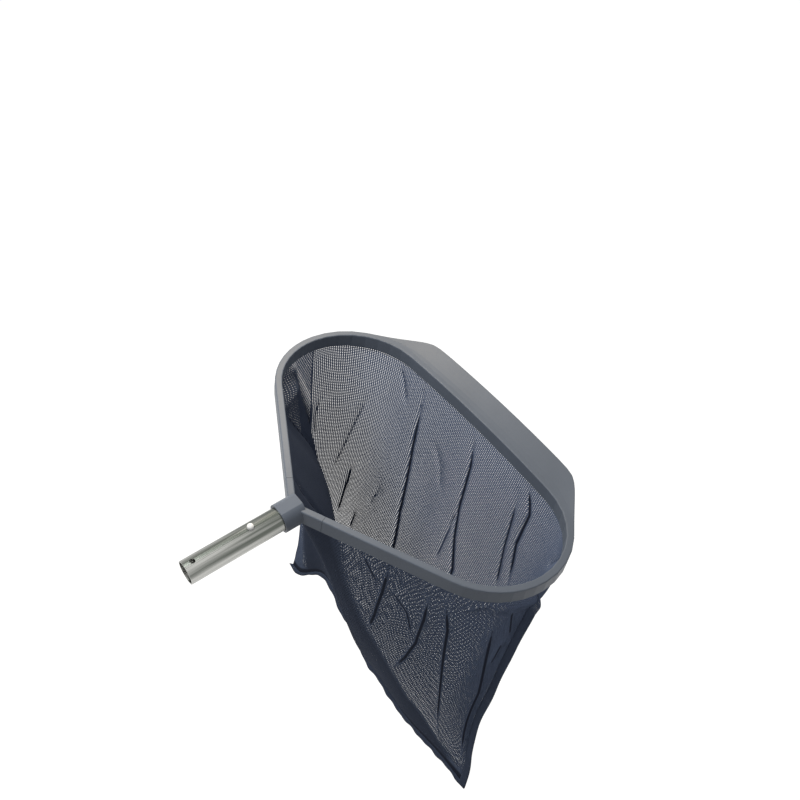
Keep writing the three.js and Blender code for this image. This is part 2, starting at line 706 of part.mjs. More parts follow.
function handleTube() {
  const ring = circle(TUBE_RADIUS);
  ring.holes.push(new THREE.Path().absarc(0, 0, BORE_RADIUS, 0, FULL_TURN, true));
  return cut(
    alongHandle(ring, 0, TUBE_LENGTH),
    acrossTube(CROSS_HOLE_DIAMETER / 2, CROSS_HOLE_FROM_END),
    acrossTube(BUTTON_DIAMETER / 2 + BUTTON_CLEARANCE, BUTTON_FROM_END),
    socketScrewHole(),
  );
}

// A flange inside the tube, and a round nosed stem out through its wall
function clipButton(side) {
  const radius = BUTTON_DIAMETER / 2;
  const shoulder = TUBE_RADIUS + BUTTON_STAND_OUT - BUTTON_NOSE;
  const nose = Array.from({ length: BUTTON_NOSE_STEPS + 1 }, (_, i) => {
    const angle = (QUARTER_TURN * i) / BUTTON_NOSE_STEPS;
    return [radius * Math.cos(angle), shoulder + BUTTON_NOSE * Math.sin(angle)];
  });
  const profile = [
    [0, FLANGE_TOP - FLANGE_THICKNESS],
    [FLANGE_DIAMETER / 2, FLANGE_TOP - FLANGE_THICKNESS],
    [FLANGE_DIAMETER / 2, FLANGE_TOP],
    [radius, FLANGE_TOP],
    ...nose,
  ].map(([r, z]) => new THREE.Vector2(r, z));
  const geometry = new THREE.LatheGeometry(profile, SMALL_SIDES);
  geometry.rotateX(side * QUARTER_TURN);
  return geometry.translate(0, BUTTON_FROM_END, 0);
}

// A leaf bent into a V: a flat under each button, two legs and a round bend towards the yoke
function clipSpring() {
  const half = SPRING_THICKNESS / 2;
  const pad = FLANGE_TOP - FLANGE_THICKNESS - GAP - half;
  const start = BUTTON_FROM_END - SPRING_PAD / 2;
  const knee = BUTTON_FROM_END + SPRING_PAD / 2;
  const bend = BUTTON_FROM_END + SPRING_LENGTH;
  const lean = Math.atan2(pad - SPRING_BEND_RADIUS, bend - knee);
  const side = (offset) => {
    const radius = SPRING_BEND_RADIUS + offset;
    const upper = [
      new THREE.Vector2(start, pad + offset),
      new THREE.Vector2(knee + offset * Math.tan(lean / 2), pad + offset),
    ];
    const round = Array.from({ length: SPRING_BEND_STEPS + 1 }, (_, i) => {
      const angle = QUARTER_TURN - lean - ((HALF_TURN - 2 * lean) * i) / SPRING_BEND_STEPS;
      return new THREE.Vector2(bend + radius * Math.cos(angle), radius * Math.sin(angle));
    });
    const lower = upper.map((q) => new THREE.Vector2(q.x, -q.y)).reverse();
    return [...upper, ...round, ...lower];
  };
  const shape = new THREE.Shape([...side(half), ...side(-half).reverse()]);
  const geometry = new THREE.ExtrudeGeometry(shape, { depth: SPRING_WIDTH, bevelEnabled: false });
  geometry.translate(0, 0, -SPRING_WIDTH / 2);
  return geometry.rotateY(QUARTER_TURN).rotateX(QUARTER_TURN);
}

function socketScrew() {
  const seat = SOCKET_RADIUS + GAP;
  const length = seat - BORE_RADIUS + SOCKET_SCREW_PAST_WALL;
  const geometry = screw(SOCKET_SCREW_DIAMETER, SOCKET_SCREW_HEAD_DIAMETER, SOCKET_SCREW_HEAD_HEIGHT, length);
  return geometry.translate(0, SOCKET_SCREW_FROM_END, -seat);
}

// Assembly

function piece(name, geometry, finish) {
  const mesh = new THREE.Mesh(geometry, finish);
  mesh.name = name;
  return mesh;
}

const head = new THREE.Group();
head.position.set(0, CROTCH_Y, RIM_TOP_Z);
head.add(
  piece("frame_hoop", frameHoop(), greyPlastic()),
  piece("handle_yoke", handleYoke(), greyPlastic()),
  piece("arm_screw_left", armScrew(-1), steel()),
  piece("arm_screw_right", armScrew(1), steel()),
  piece("hem_cord", hemCord(), darkCord()),
  piece("hem_band", hemBand(), darkFabric()),
  piece("clamp_strip", clampStrip(), greyPlastic()),
  piece("net_bag", netBag(), darkFabric()),
  piece("bottom_seam", bottomSeam(), darkFabric()),
  piece("side_seam_left", sideSeam(-1), darkFabric()),
  piece("side_seam_right", sideSeam(1), darkFabric()),
);

const handle = new THREE.Group();
handle.rotation.x = TUBE_TILT;
handle.add(
  piece("handle_tube", handleTube(), aluminium()),
  piece("clip_spring", clipSpring(), steel()),
  piece("clip_button_top", clipButton(1), whiteNylon()),
  piece("clip_button_bottom", clipButton(-1), whiteNylon()),
  piece("socket_screw", socketScrew(), steel()),
);

const net = new THREE.Group();
net.add(head, handle);

export default net;
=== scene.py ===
"""A pond skimming net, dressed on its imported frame: a draped mesh bag of two panels with sewn edges,
moulded grey plastic, drawn aluminium and white nylon, in soft studio light. The net's lengths are in
millimetres in the head's own frame, with z = 0 at the rim's top face and x = y = 0 where the rim's two
arms would cross."""
import math

import bpy
import numpy as np
from mathutils import Matrix, Vector


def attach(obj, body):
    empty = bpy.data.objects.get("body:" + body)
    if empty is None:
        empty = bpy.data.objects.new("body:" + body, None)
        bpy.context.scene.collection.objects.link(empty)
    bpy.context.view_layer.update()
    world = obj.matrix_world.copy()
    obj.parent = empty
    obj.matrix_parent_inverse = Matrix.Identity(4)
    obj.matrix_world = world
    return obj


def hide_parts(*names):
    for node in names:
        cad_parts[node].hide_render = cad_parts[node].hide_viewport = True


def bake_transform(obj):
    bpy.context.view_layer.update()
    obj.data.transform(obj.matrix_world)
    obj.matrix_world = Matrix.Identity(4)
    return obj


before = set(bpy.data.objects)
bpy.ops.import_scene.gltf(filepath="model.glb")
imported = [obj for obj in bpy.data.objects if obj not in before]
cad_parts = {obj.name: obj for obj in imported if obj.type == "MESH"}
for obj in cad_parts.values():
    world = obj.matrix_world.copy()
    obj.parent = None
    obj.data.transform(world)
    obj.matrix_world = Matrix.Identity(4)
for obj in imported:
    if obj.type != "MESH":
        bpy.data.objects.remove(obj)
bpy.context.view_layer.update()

MM = 0.001
QUARTER_TURN = math.pi / 2

# The head's place in the frame, from the handle's reach and tilt
HANDLE_REACH = 139
TUBE_TILT = math.radians(9)
TUBE_BELOW_RIM = 11.7
HEAD_Y = HANDLE_REACH * math.cos(TUBE_TILT)
HEAD_Z = HANDLE_REACH * math.sin(TUBE_TILT) + TUBE_BELOW_RIM

# Rim, along the inner edge of its top face
MOUTH_HALF_WIDTH = 221
MOUTH_LENGTH = 272
CORNER_RADIUS = 94
FRONT_RADIUS = 2000
RIM_HEIGHT = 18
CORNER_X = MOUTH_HALF_WIDTH - CORNER_RADIUS
FRONT_CENTRE_Y = MOUTH_LENGTH - FRONT_RADIUS
CORNER_Y = FRONT_CENTRE_Y + math.sqrt((FRONT_RADIUS - CORNER_RADIUS) ** 2 - CORNER_X**2)
FRONT_HALF_ANGLE = math.asin(CORNER_X / (FRONT_RADIUS - CORNER_RADIUS))
CORNER_FAR = math.hypot(CORNER_X, CORNER_Y)  # its centre from where the arms would cross
ARM_ANGLE = math.atan2(CORNER_Y, CORNER_X) - math.asin(CORNER_RADIUS / CORNER_FAR)
ARM_LENGTH = CORNER_X * math.cos(ARM_ANGLE) + CORNER_Y * math.sin(ARM_ANGLE)

# Bag
BAG_OUT = 2.8  # its edge hangs this far outside the mouth's edge, in the rim's channel
BAG_TURN_RADIUS = 54  # its wider turn in front of the socket
BAG_TOP = -17.6
BAG_DEPTH = 490
BAG_SEAM_Y = 178
BAG_BOTTOM_HALF_WIDTH = 224
BAG_BELLY = 12  # how far the panels swell and the sides draw in, half way down
BAG_WAIST = 13
CLOTH_LENGTH = BAG_DEPTH - RIM_HEIGHT  # of a panel laid flat
CLOTH_THICKNESS = 0.35
COLUMNS = 296
ROWS = 160

# The bag's edge at the mouth: radii and lengths of its turn, arm, corner and front bar
TURN_OUT = BAG_TURN_RADIUS + BAG_OUT
CORNER_OUT = CORNER_RADIUS + BAG_OUT
FRONT_OUT = FRONT_RADIUS + BAG_OUT
TURN_RUN = TURN_OUT * ARM_ANGLE
ARM_START = BAG_TURN_RADIUS * math.tan(ARM_ANGLE)
ARM_RUN = ARM_LENGTH - ARM_START
FRONT_RUN = FRONT_OUT * FRONT_HALF_ANGLE
NEAR_HALF_LENGTH = TURN_RUN + ARM_RUN + CORNER_OUT * (QUARTER_TURN - ARM_ANGLE)
FAR_HALF_LENGTH = FRONT_RUN + CORNER_OUT * (QUARTER_TURN - FRONT_HALF_ANGLE)

# Bottom edge drawn up: middle, half width, lift
TUCKS = ((-228, 40, 7), (-130, 85, 72), (-52, 50, 34), (94, 90, -13))
SAG_DEPTH = 43  # the near panel's left half sinks into the bag
SAG_MIDDLE = -0.4  # its middle and half width round the mouth, which runs from -1 to 1
SAG_HALF_WIDTH = 0.6
SAG_LEVEL = 0.36  # its deepest place, as a share of the way down, and its reach below that
SAG_REACH = 0.6
FOLD_DEPTH = 21  # a fold beside it, near the rim's left corner, given in the same way
FOLD_MIDDLE = -0.67
FOLD_HALF_WIDTH = 0.22
FOLD_LEVEL = 0.04
FOLD_REACH = 0.52
# Waves of loose cloth: angle turned through round the mouth and down the bag, start and height
WAVES = ((8, 2.2, 1, 2.4), (11.5, -3.1, 2.6, 1.5), (17, 4.3, 0.4, 1))
WAVE_SHIFT = 2  # the panels' waves start this far to either side
WAVE_EDGE = 6  # power that keeps the waves nearly even up to the sides
# Sides drawn out: side, level and reach as shares of the way down, and millimetres outward
SIDE_SHIFTS = ((-1, 0.9, 0.3, -9), (1, 0.05, 0.05, 6), (1, 0.72, 0.3, -8), (1, 1, 0.15, -5))
SIDE_START = 0.55  # the shifts fade out at this share of the half width

# Creases of each panel: places in its width (-1 to 1) and depth (0 to 1), height and half width
FAR_CREASES = (
    (((-0.37, 0.0), (-0.34, 0.25), (-0.28, 0.5), (-0.2, 0.68), (-0.12, 0.88)), 3, 4),
    (((-0.02, 0.0), (0.04, 0.12), (0.08, 0.27), (0.13, 0.36), (0.2, 0.45), (0.24, 0.62)), 3, 4),
    (((0.07, 0.26), (0.08, 0.36), (0.08, 0.5)), 2, 5),
    (((0.34, 0.06), (0.4, 0.24), (0.48, 0.4)), 2.5, 4),
    (((0.36, 0.0), (0.44, 0.09), (0.45, 0.2), (0.54, 0.36)), 3, 4),
    (((-0.68, 0.17), (-0.75, 0.32), (-0.84, 0.52)), 2, 6),
    (((-0.7, 0.46), (-0.71, 0.58), (-0.72, 0.72)), 2.5, 5),
    (((-0.54, 0.02), (-0.49, 0.08), (-0.45, 0.15)), 2, 5),
    (((-0.94, 0.18), (-0.97, 0.26), (-0.96, 0.36)), 2, 5),
    (((-0.44, 0.48), (-0.49, 0.61)), 1.8, 7),
    (((-0.21, 0.17), (-0.13, 0.22), (-0.07, 0.29)), 1.8, 8),
    (((0.76, 0.02), (0.7, 0.12)), 2, 5),
    (((-0.58, 0.67), (-0.57, 0.76)), 2, 5),
)
NEAR_CREASES = (
    (((0.41, 0.0), (0.38, 0.17), (0.34, 0.32), (0.29, 0.45)), 3, 4),
    (((0.63, 0.0), (0.69, 0.2), (0.71, 0.38), (0.74, 0.62), (0.76, 0.9)), 3, 4),
    (((0.58, 0.03), (0.58, 0.2), (0.56, 0.35), (0.51, 0.47), (0.41, 0.63)), 3, 4),
    (((0.72, 0.09), (0.77, 0.05), (0.83, 0.03)), 2.2, 5),
    (((0.84, 0.03), (0.9, 0.3), (0.95, 0.52), (0.96, 0.75), (0.97, 0.92)), 3, 4),
    (((0.9, 0.05), (0.97, 0.22)), 2.5, 5),
    (((0.95, 0.23), (0.94, 0.37)), 2.5, 5),
    (((0.29, 0.03), (0.36, 0.14)), 2.5, 5),
    (((0.4, 0.12), (0.5, 0.21), (0.54, 0.33)), 2.5, 5),
    (((0.25, 0.28), (0.29, 0.36)), 2, 6),
    (((-0.26, 0.0), (-0.22, 0.3), (-0.24, 0.6)), 2.5, 5),
    (((-0.6, 0.0), (-0.66, 0.25), (-0.64, 0.55)), 2.5, 5),
    (((-0.86, 0.03), (-0.9, 0.4), (-0.93, 0.8)), 2.5, 5),
)
CREASE_TAPER = 0.2  # share of a crease's length over which each end fades
CREASE_END = 0.15  # share of its height that is left there
CREASE_HELD = 0.06  # creases are held flat this near to the mouth and the bottom

# Openness of the mesh, which falls off at a crease, at an edge and in bunched cloth, and below which the
# threads get painted shade
NEAR_CLEAR = 1.58
NEAR_STRETCH = 0.33  # gained by the near panel on the way down
FAR_CLEAR = 1.28
FAR_STRETCH = 0.1  # gained by the far panel at its left end and lost at its right end
FAR_FALL = 0.42  # gained by it at its bottom, and the power that keeps this low down
FALL_POWER = 3
CREASE_LINE = 1.9  # half width of the line of closed holes along a crease's top
CREASE_SHARP = 3.0  # height of a crease that closes them fully
CREASE_FADE = 2.0  # how soon they open along a lower crease, and at its ends
DENSE_EDGE = 14.0  # height of the band of closed holes above the bottom seam
SEWN_LOOKS = (0.95, 0)  # openness and added painted shade of the sewn edges; their low openness also paints them half in fold shade
# Bunched part of the near panel: how far it reaches across at each level, and where it starts
BUNCH_LEVELS = (0, 0.25, 0.45, 0.6, 0.77, 0.9, 1)
BUNCH_EDGES = (0.2, 0.23, 0.3, 0.4, 0.52, 0.74, 0.98)
BUNCH_START_LEVELS = (0, 0.3, 0.45, 0.65)
BUNCH_STARTS = (-0.88, -1.08, -1.08, -0.86)
BUNCH_SOFT = 0.07  # width of its edges
BUNCH_SPREAD = 1.06  # its openness
BUNCH_PAINTED_SHADE = 0.7  # and the share of painted shade laid on it

# Sewn edges
SEAM_WIDTH = 11
SEAM_THICKNESS = 1.4
SEAM_STEPS = 4
SEAM_LEAN = 3  # the bottom seam spreads sideways by this much
LEFT_SEAM_LEAN = math.radians(48)
LEFT_SEAM_START = 0.8  # the side seams reach their full width at this share of the way down
RIGHT_SEAM_START = 0.09
SIDE_SEAM_LEAST = 0.15  # share of that width at the mouth
CORNER_REACH = 40  # power that keeps the seams' mitred corners short
WANDER_PACES = (7.3, 16.9, 29.7)  # of the waves that make an edge uneven
BOTTOM_SEAM_PACE = 2
BOTTOM_SEAM_DROP = (0.7, 3)  # height and start of the bottom seam's waves, down and sideways
BOTTOM_SEAM_SWAY = (1.5, 1)
SIDE_SEAM_SWAY = 3

# Hem in the rim's channel: its start along each arm, and its section as distance outward and height
HEM_START = 22.3
HEM_SECTION = ((2.6, -17.5), (2.6, -10.9), (3.3, -10.1), (5.7, -10.1), (6.4, -10.9), (6.4, -13.7))
HEM_THICKNESS = 0.5
HEM_ARM_STEPS = 24
HEM_CORNER_STEPS = 40
HEM_FRONT_STEPS = 24

# Snap clip's spring, a leaf bent into a V, by distance from the tube's free end and height over its axis
BUTTON_FROM_END = 82
SPRING_HEIGHT = 9.25  # of the flat under a button
SPRING_FLAT = 12
SPRING_LENGTH = 44
SPRING_RADIUS = 2.4
SPRING_WIDTH = 8
SPRING_THICKNESS = 0.8
SPRING_LEG_STEPS = 20
SPRING_BEND_STEPS = 6
SPRING_KNEE = BUTTON_FROM_END + SPRING_FLAT / 2
SPRING_BEND = BUTTON_FROM_END + SPRING_LENGTH
SPRING_CORNERS = 4  # of the leaf's section

# Materials: colours in pairs, roughness from and to, noise as scale, detail and any stretch, and
# bump as strength and depth in metres
NOISE_RANGE = (0.3, 0.7)  # most of a noise lies between these
FULL_RANGE = (0, 1)
PLASTIC_COLOURS = ((0.114, 0.132, 0.162), (0.13, 0.15, 0.184))
PLASTIC_CLOUDS = (14, 3)
PLASTIC_GRAIN = (1500, 2)
PLASTIC_ROUGHNESS = (0.36, 0.46)
PLASTIC_SPECULAR = 0.2
PLASTIC_BUMP = (0.12, 0.0003)
# Tube colours: the drawn metal's streaks, and painted reflections, darker olive bands along the tube
# that stand in for the surroundings mirrored in it
ALUMINIUM_AND_REFLECTION_COLOURS = ((0.12, 0.13, 0.115), (0.5, 0.5, 0.475))
STREAK_AND_REFLECTION_NOISE = (1, 4, (95, 4, 95))
STREAK_AND_REFLECTION_RANGE = (0.38, 0.6)
ALUMINIUM_SCRATCHES = (1, 2, (900, 12, 900))
ALUMINIUM_ROUGHNESS = (0.2, 0.36)
ALUMINIUM_BUMP = (0.05, 0.0003)
NYLON_COLOURS = ((0.78, 0.78, 0.76), (0.86, 0.86, 0.85))
NYLON_SPECKS = (300, 2)
NYLON_ROUGHNESS = (0.32, 0.45)
STEEL_COLOURS = ((0.42, 0.43, 0.44), (0.6, 0.61, 0.62))
STEEL_BRUSHING = (1, 3, (300, 60, 300))
STEEL_ROUGHNESS = (0.28, 0.42)
BRAID_COLOURS = ((0.012, 0.014, 0.02), (0.035, 0.038, 0.05))
BRAID_STRANDS = (700, 2)
BRAID_ROUGHNESS = 0.8
BRAID_BUMP = (0.4, 0.0005)
THREAD_COLOURS = ((0.106, 0.134, 0.205), (0.141, 0.177, 0.264))
PAINTED_FOLD_SHADE_COLOUR = (0.022, 0.027, 0.043)  # painted shade on the threads where the cloth lies in folds: at creases, edges, seams and bunched cloth
THREAD_CLOUDS = (160, 3)
THREAD_ROUGHNESS = 0.85
THREAD_SPECULAR = 0.04

# Knitting of the mesh
NEAR_KNIT = math.radians(24)  # the panels' knitting runs askew, so their holes don't line up in bands
FAR_KNIT = 0
MESH_PITCH = 2.7  # between threads
MESH_DRIFT = 0.5  # how far the knitting wanders, in pitches, and the scales of that along and across
DRIFT_SCALES = (23, 31)
DRIFT_DETAIL = 2
HOLE_MIDDLE = 0.5  # place, radius and soft edge of a hole, as shares of the pitch
HOLE_RADIUS = 0.41
HOLE_EDGE = 0.03
CLOSED_RADIUS = 0.02  # of a hole in a crease
CREASE_CORE = 0.7  # openness where the holes start to open
CREASE_EDGE = 1.85  # where they are fully open
PAINTED_SHADE_END = 1.2  # and where the painted fold shade on the threads ends

# Stage, in metres: strengths as seen and as light on the net
WORLD_SEEN = 1.0
WORLD_LIGHT = 0.4
FLOOR_SEEN = 0.91
FLOOR_LIGHT = 0.04
FLOOR_GREY = 0.28
FLOOR_ROUGHNESS = 0.9
FLOOR_Z = -0.62
FLOOR_SIZE = 14
# Lights: name, place, aim, size, power and colour
LIGHTS = (
    ("key", (-0.42, -0.2, 0.76), (0, 0.26, 0), 0.4, 6.2, (0.98, 0.99, 1)),
    ("gloss", (-0.68, 0.58, 0.72), (-0.15, 0.25, 0), 0.3, 6, (1, 0.86, 0.66)),
)

# Camera of the photograph: what it looks at, from where, and how it is turned
CAMERA_AIM = (-0.0754, 0.3415, 0.0334)
CAMERA_AZIMUTH = math.radians(44.88)
CAMERA_ELEVATION = math.radians(42.87)
CAMERA_ROLL = math.radians(11.33)
CAMERA_DISTANCE = 1.2571
CAMERA_LENS = 45
CAMERA_SENSOR = 36


# Plan of the bag's mouth


def arc(centre_x, centre_y, radius, angle):
    out = np.stack([np.cos(angle), np.sin(angle)], -1)
    return np.array([centre_x, centre_y]) + radius * out, out


def near_half(along):
    """Right half of the near edge, by distance from the middle: the turn, the arm and the corner."""
    turn_y = BAG_TURN_RADIUS / math.cos(ARM_ANGLE)
    first, out1 = arc(0, turn_y, TURN_OUT, along / TURN_OUT - QUARTER_TURN)
    _, out2 = arc(0, 0, 1, np.full_like(along, ARM_ANGLE - QUARTER_TURN))
    reach = (ARM_START + along - TURN_RUN)[..., None]
    second = reach * np.array([math.cos(ARM_ANGLE), math.sin(ARM_ANGLE)]) + BAG_OUT * out2
    corner_angle = ARM_ANGLE - QUARTER_TURN + (along - TURN_RUN - ARM_RUN) / CORNER_OUT
    third, out3 = arc(CORNER_X, CORNER_Y, CORNER_OUT, corner_angle)
    in_turn = (along < TURN_RUN)[..., None]
    in_arm = (along < TURN_RUN + ARM_RUN)[..., None]
    points = np.where(in_turn, first, np.where(in_arm, second, third))
    return points, np.where(in_turn, out1, np.where(in_arm, out2, out3))


def far_half(along):
    """Right half of the far edge, by distance from the middle: the front bar and the corner."""
    first, out1 = arc(0, FRONT_CENTRE_Y, FRONT_OUT, QUARTER_TURN - along / FRONT_OUT)
    corner_angle = QUARTER_TURN - FRONT_HALF_ANGLE - (along - FRONT_RUN) / CORNER_OUT
    second, out2 = arc(CORNER_X, CORNER_Y, CORNER_OUT, corner_angle)
    on_bar = (along < FRONT_RUN)[..., None]
    return np.where(on_bar, first, second), np.where(on_bar, out1, out2)


class Panel:
    """One wall of the bag: half of its mouth's edge, the way it faces, its knitting and its creases."""

    def __init__(self, half, half_length, side, knit, creases):
        self.half = half
        self.half_length = half_length
        self.side = side
        self.knit = knit
        self.creases = creases

    def mouth(self, across):
        """Points of the mouth and outward directions, for places from -1 to 1 across."""
        points, out = self.half(np.abs(across) * self.half_length)
        flip = np.stack([np.where(across < 0, -1, 1), np.ones_like(across)], -1)
        return points * flip, out * flip


NEAR = Panel(near_half, NEAR_HALF_LENGTH, -1, NEAR_KNIT, NEAR_CREASES)
FAR = Panel(far_half, FAR_HALF_LENGTH, 1, FAR_KNIT, FAR_CREASES)


# Drape


def hump(distance):
    """1 in the middle, falling smoothly to 0 at a distance of 1."""
    return np.cos(np.clip(distance, -1, 1) * QUARTER_TURN) ** 2


def lower_edge(x):
    lifts = [lift * hump((x - middle) / half) for middle, half, lift in TUCKS]
    return sum(lifts) - BAG_DEPTH


def hollow(down, lowest, reach):
    """1 at the lowest place of a hollow, falling to 0 at the mouth and at its reach below."""
    return hump(np.where(down < lowest, down / lowest - 1, (down - lowest) / reach))


def sag(place, down):
    """How far the near panel sinks into the bag."""
    wide = SAG_DEPTH * hump((place - SAG_MIDDLE) / SAG_HALF_WIDTH)
    narrow = FOLD_DEPTH * hump((place - FOLD_MIDDLE) / FOLD_HALF_WIDTH)
    return wide * hollow(down, SAG_LEVEL, SAG_REACH) + narrow * hollow(down, FOLD_LEVEL, FOLD_REACH)


def waves(place, down, side):
    """How far a panel's loose waves stand out, which die out at its edges."""
    loose = np.sin(math.pi * down) * hump(place**WAVE_EDGE)
    shift = side * WAVE_SHIFT
    raised = 0
    for turn, fall, start, height in WAVES:
        raised = raised + loose * height * np.sin(turn * place + fall * down + start + shift)
    return raised


def side_shift(across, down):
    """How far the bag's sides stand out past their plain line."""
    shift = 0
    for side, level, reach, amount in SIDE_SHIFTS:
        beside = np.clip((side * across - SIDE_START) / (1 - SIDE_START), 0, 1) ** 2
        shift = shift + side * amount * beside * hump((down - level) / reach)
    return shift


def hang(panel, across, down):
    """Points of the plain panel and the directions that it faces."""
    mouth, out = panel.mouth(across)
    place = np.arcsin(np.clip(mouth[..., 0] / (MOUTH_HALF_WIDTH + BAG_OUT), -1, 1)) / QUARTER_TURN
    seam = np.stack([BAG_BOTTOM_HALF_WIDTH * across, np.full_like(across, BAG_SEAM_Y)], -1)
    swell = np.sin(math.pi * down)
    flat = mouth * (1 - down)[..., None] + seam * down[..., None]
    sink = sag(place, down) if panel is NEAR else 0
    x = flat[..., 0] - out[..., 0] * BAG_WAIST * swell + sink * math.sin(ARM_ANGLE)
    x = x + side_shift(across, down)
    y = flat[..., 1] + out[..., 1] * BAG_BELLY * swell + sink * math.cos(ARM_ANGLE)
    z = BAG_TOP * (1 - down) + lower_edge(x) * down
    facing = out * (1 - down)[..., None] + np.array([0, panel.side]) * down[..., None]
    facing = facing / np.linalg.norm(facing, axis=-1, keepdims=True)
    facing = np.concatenate([facing, np.zeros_like(facing[..., :1])], -1)
    raised = waves(place, down, panel.side)
    return np.stack([x, y, z], -1) + facing * raised[..., None], facing


def along_line(places, widths, across, down):
    """Distance from a line of places, and the share of its length at the nearest one."""
    best = np.full_like(across, np.inf)
    share = np.zeros_like(across)
    for i, (start, end) in enumerate(zip(places, places[1:])):
        fall = np.full_like(widths, (end[1] - start[1]) * CLOTH_LENGTH)
        run = np.stack([(end[0] - start[0]) * widths, fall], -1)
        here = np.stack([(across - start[0]) * widths, (down - start[1]) * CLOTH_LENGTH], -1)
        part = np.clip((here * run).sum(-1) / (run * run).sum(-1), 0, 1)
        distance = np.linalg.norm(here - run * part[..., None], axis=-1)
        nearer = distance < best
        best = np.where(nearer, distance, best)
        share = np.where(nearer, (i + part) / (len(places) - 1), share)
    return best, share


def past_start(across, down):
    """How far a place of the near panel is past the left edge of the bunched part."""
    return across - np.interp(down, BUNCH_START_LEVELS, BUNCH_STARTS)


def bunched(across, down):
    """1 in the bunched part of the near panel, falling to 0 over its edges."""
    to_edge = np.interp(down, BUNCH_LEVELS, BUNCH_EDGES) - across
    from_start = past_start(across, down)
    return np.clip(to_edge / BUNCH_SOFT, 0, 1) * np.clip(from_start / BUNCH_SOFT, 0, 1)


def openness(panel, across, down):
    """How open a panel's mesh is away from its creases, and the share of painted shade on it."""
    if panel is FAR:
        fall = FAR_FALL * down**FALL_POWER
        return FAR_CLEAR - FAR_STRETCH * across + fall, np.zeros_like(down)
    gathered = bunched(across, down)
    loose = NEAR_CLEAR + NEAR_STRETCH * down
    stretched = np.where(past_start(across, down) > 0, loose, FAR_CLEAR)
    # painted shade laid on the bunched cloth
    return stretched - (stretched - BUNCH_SPREAD) * gathered, BUNCH_PAINTED_SHADE * gathered


def drape(panel, across, down):
    """Points of the creased panel, the openness of its mesh and its painted shade."""
    points, facing = hang(panel, across, down)
    widths = panel.half_length * (1 - down) + BAG_BOTTOM_HALF_WIDTH * down
    held = np.clip(down / CREASE_HELD, 0, 1) * np.clip((1 - down) / CREASE_HELD, 0, 1)
    raised = np.zeros_like(across)
    clear, painted_shade = openness(panel, across, down)
    spread = np.minimum(clear, (1 - down) * CLOTH_LENGTH / DENSE_EDGE)
    for places, height, half_width in panel.creases:
        distance, share = along_line(places, widths, across, down)
        taper = np.clip(np.minimum(share, 1 - share) / CREASE_TAPER, 0, 1)
        ridge = np.exp(-((distance / half_width) ** 2))
        raised = raised + height * (CREASE_END + (1 - CREASE_END) * taper) * held * ridge
        fade = CREASE_FADE * (1 - taper * height / CREASE_SHARP)
        spread = np.minimum(spread, distance / CREASE_LINE + fade)
    return points + facing * raised[..., None], spread, painted_shade


# Meshes


def to_frame(points):
    return (points + np.array([0, HEAD_Y, HEAD_Z])) * MM


def sheet_object(name, points, plane, looks, material, thickness):
    """A grid of points as a sheet of cloth, with its flat coordinates and what its looks need."""
    rows, columns = points.shape[:2]
    index = np.arange(rows * columns).reshape(rows, columns)
    corners = (index[:-1, :-1], index[1:, :-1], index[1:, 1:], index[:-1, 1:])
    quads = np.stack(corners, -1).reshape(-1, len(corners))
    mesh = bpy.data.meshes.new(name)
    mesh.from_pydata(to_frame(points.reshape(-1, 3)).tolist(), [], quads.tolist())
    mesh.polygons.foreach_set("use_smooth", np.ones(len(quads), dtype=bool))
    layer = mesh.uv_layers.new(name="cloth")
    flat = plane.reshape(-1, 2)[quads.reshape(-1)] * MM
    layer.uv.foreach_set("vector", flat.astype(np.float32).reshape(-1))
    for look, values in zip(("spread", "painted_shade"), looks):
        attribute = mesh.attributes.new(look, "FLOAT", "POINT")
        values = np.broadcast_to(values, (rows, columns)).astype(np.float32)
        attribute.data.foreach_set("value", values.reshape(-1))
    mesh.update()
    obj = bpy.data.objects.new(name, mesh)
    bpy.context.scene.collection.objects.link(obj)
    mesh.materials.append(material)
    shell = obj.modifiers.new("thickness", "SOLIDIFY")
    shell.thickness = thickness * MM
    shell.offset = 0
    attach(obj, "net")
    return obj


def panel_object(name, panel, material):
    places = np.linspace(-1, 1, COLUMNS + 1), np.linspace(0, 1, ROWS + 1)
    across, down = np.meshgrid(*places, indexing="ij")
    points, *looks = drape(panel, across, down)
    width = (panel.half_length + BAG_BOTTOM_HALF_WIDTH) / 2
    plane = np.stack([across * width, down * CLOTH_LENGTH], -1)
    cos, sin = math.cos(panel.knit), math.sin(panel.knit)
    plane = plane @ np.array([[cos, -sin], [sin, cos]])
    return sheet_object(name, points, plane, looks, material, CLOTH_THICKNESS)


def wander(places, start):
    """An uneven wave between about -1 and 1."""
    waved = sum(np.sin(places * pace + start * pace) for pace in WANDER_PACES)
    return waved / len(WANDER_PACES)


def seam_grid(along, step_points):
    """Points and flat coordinates of a sewn edge, from its root to its free edge."""
    steps = np.linspace(0, 1, SEAM_STEPS + 1)
    points = np.stack([step_points(step) for step in steps], 1)
    plane = np.stack(np.broadcast_arrays(along[:, None], steps[None] * SEAM_WIDTH), -1)
    return points, plane


def bottom_seam(material):
    """The panels' lower edges, sewn together and standing out below the bag."""
    across = np.linspace(-1, 1, COLUMNS + 1)
    ones = np.ones_like(across)
    edge = (drape(NEAR, across, ones)[0] + drape(FAR, across, ones)[0]) / 2
    (drop_height, drop_start), (sway_height, sway_start) = BOTTOM_SEAM_DROP, BOTTOM_SEAM_SWAY

    def step_points(step):
        drop = SEAM_WIDTH + drop_height * wander(BOTTOM_SEAM_PACE * across, drop_start)
        lean = across * (SEAM_LEAN + (SEAM_WIDTH - SEAM_LEAN) * np.abs(across) ** CORNER_REACH)
        sway = sway_height * wander(BOTTOM_SEAM_PACE * across, sway_start)
        return edge + step * np.stack([lean, sway, -drop], -1)

    points, plane = seam_grid(edge[:, 0], step_points)
    return sheet_object("bag_bottom_seam", points, plane, SEWN_LOOKS, material, SEAM_THICKNESS)


